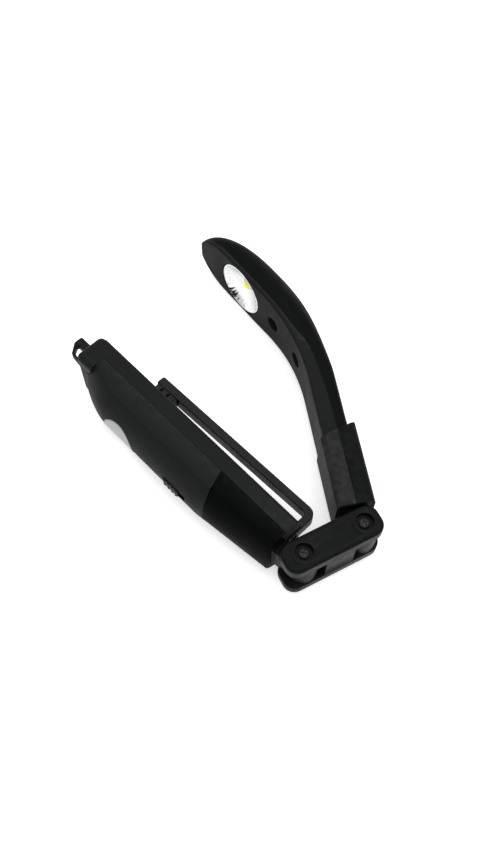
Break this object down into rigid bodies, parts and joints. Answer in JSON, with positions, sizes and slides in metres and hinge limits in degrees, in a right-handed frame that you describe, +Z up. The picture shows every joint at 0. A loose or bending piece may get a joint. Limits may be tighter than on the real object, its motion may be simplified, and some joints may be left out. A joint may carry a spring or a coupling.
{
  "type": "folding clip-on reading light",
  "caption": "Folding clip-on light: slim body with a pen clip, a short link between pivots and a curved arm ending in a spoon-shaped lamp head.",
  "frame": {"origin": "middle of the body's flat side that rests on the table", "axes": "+X along the body from the lanyard loop to the pivots, +Y towards the clip side, +Z up, along both pivot axes"},
  "size_m": [0.1392, 0.095, 0.025],
  "materials": {
    "shell_plastic": "satin moulded black plastic",
    "housing_plastic": "fine matte black plastic",
    "clip_plastic": "smooth glossy black plastic",
    "face_plastic": "matte charcoal plastic",
    "link_plastic": "satin black nylon",
    "knob_plastic": "ribbed matte black plastic",
    "inner_plastic": "plain moulded plastic",
    "badge_film": "pale grey label film",
    "cell_wrap": "printed sleeve in plain grey",
    "contact_steel": "nickel-plated spring steel",
    "screw_steel": "zinc-plated steel",
    "black_screw": "black-oxide steel",
    "bush_steel": "turned steel",
    "board_resin": "green circuit board",
    "capacitor_can": "aluminium can",
    "bright_chrome": "vacuum-metallised bowl",
    "led_ceramic": "white ceramic base",
    "led_phosphor": "yellow-green phosphor dome",
    "lead_sheath": "thin insulated wire"
  },
  "bodies": {
    "body": {"clip_side_shell": "shell_plastic", "end_housing": "housing_plastic", "body_knuckle": "link_plastic", "clip_root": "clip_plastic", "clip_screw": "screw_steel", "lanyard_loop": "shell_plastic", "upper_cell": "cell_wrap", "lower_cell": "cell_wrap", "tail_contact": "contact_steel", "front_contacts": "contact_steel", "tail_spring": "contact_steel", "front_spring": "contact_steel", "battery_tray": "inner_plastic", "switch_case": "inner_plastic", "driver_board": "board_resin", "driver_coil": "board_resin", "driver_chip": "inner_plastic", "driver_capacitor": "capacitor_can"},
    "cover": {"battery_cover": "shell_plastic", "round_badge": "badge_film"},
    "switch": {"switch_knob": "knob_plastic"},
    "clip": {"clip_arm": "clip_plastic"},
    "link": {"link_top": "link_plastic", "link_bottom": "link_plastic", "body_pivot_bush": "bush_steel", "body_pivot_screw": "black_screw", "body_pivot_nut": "screw_steel", "body_pivot_washers": "screw_steel", "arm_pivot_bush": "bush_steel", "arm_pivot_screw": "black_screw", "arm_pivot_nut": "screw_steel", "arm_pivot_washers": "screw_steel"},
    "arm": {"arm_face_shell": "face_plastic", "arm_back_shell": "shell_plastic", "arm_knuckle": "link_plastic", "face_screws": "black_screw", "reflector": "bright_chrome", "led_board": "board_resin", "led_chip": "led_ceramic", "led_dome": "led_phosphor", "arm_leads": "lead_sheath"}
  },
  "joints": [
    {"name": "body_pivot", "type": "hinge", "parent": "body", "child": "link", "pos_m": [0.061, 0.0034, 0.0125], "axis": [0, 0, 1], "range_deg": [-74, 16]},
    {"name": "arm_pivot", "type": "hinge", "parent": "link", "child": "arm", "pos_m": [0.06778, 0.02642, 0.0125], "axis": [0, 0, 1], "range_deg": [-117, 12.5]},
    {"name": "clip_flex", "type": "hinge", "parent": "body", "child": "clip", "pos_m": [0.045, 0.01964, 0.0125], "axis": [0, 0, 1], "range_deg": [-3, 0], "stiffness_Nm_per_rad": 3},
    {"name": "switch_slide", "type": "slide", "parent": "body", "child": "switch", "axis": [1, 0, 0], "range_m": [0, 0.003]},
    {"name": "cover_lift", "type": "slide", "parent": "body", "child": "cover", "axis": [0, -1, 0], "range_m": [0, 0.016]}
  ]
}
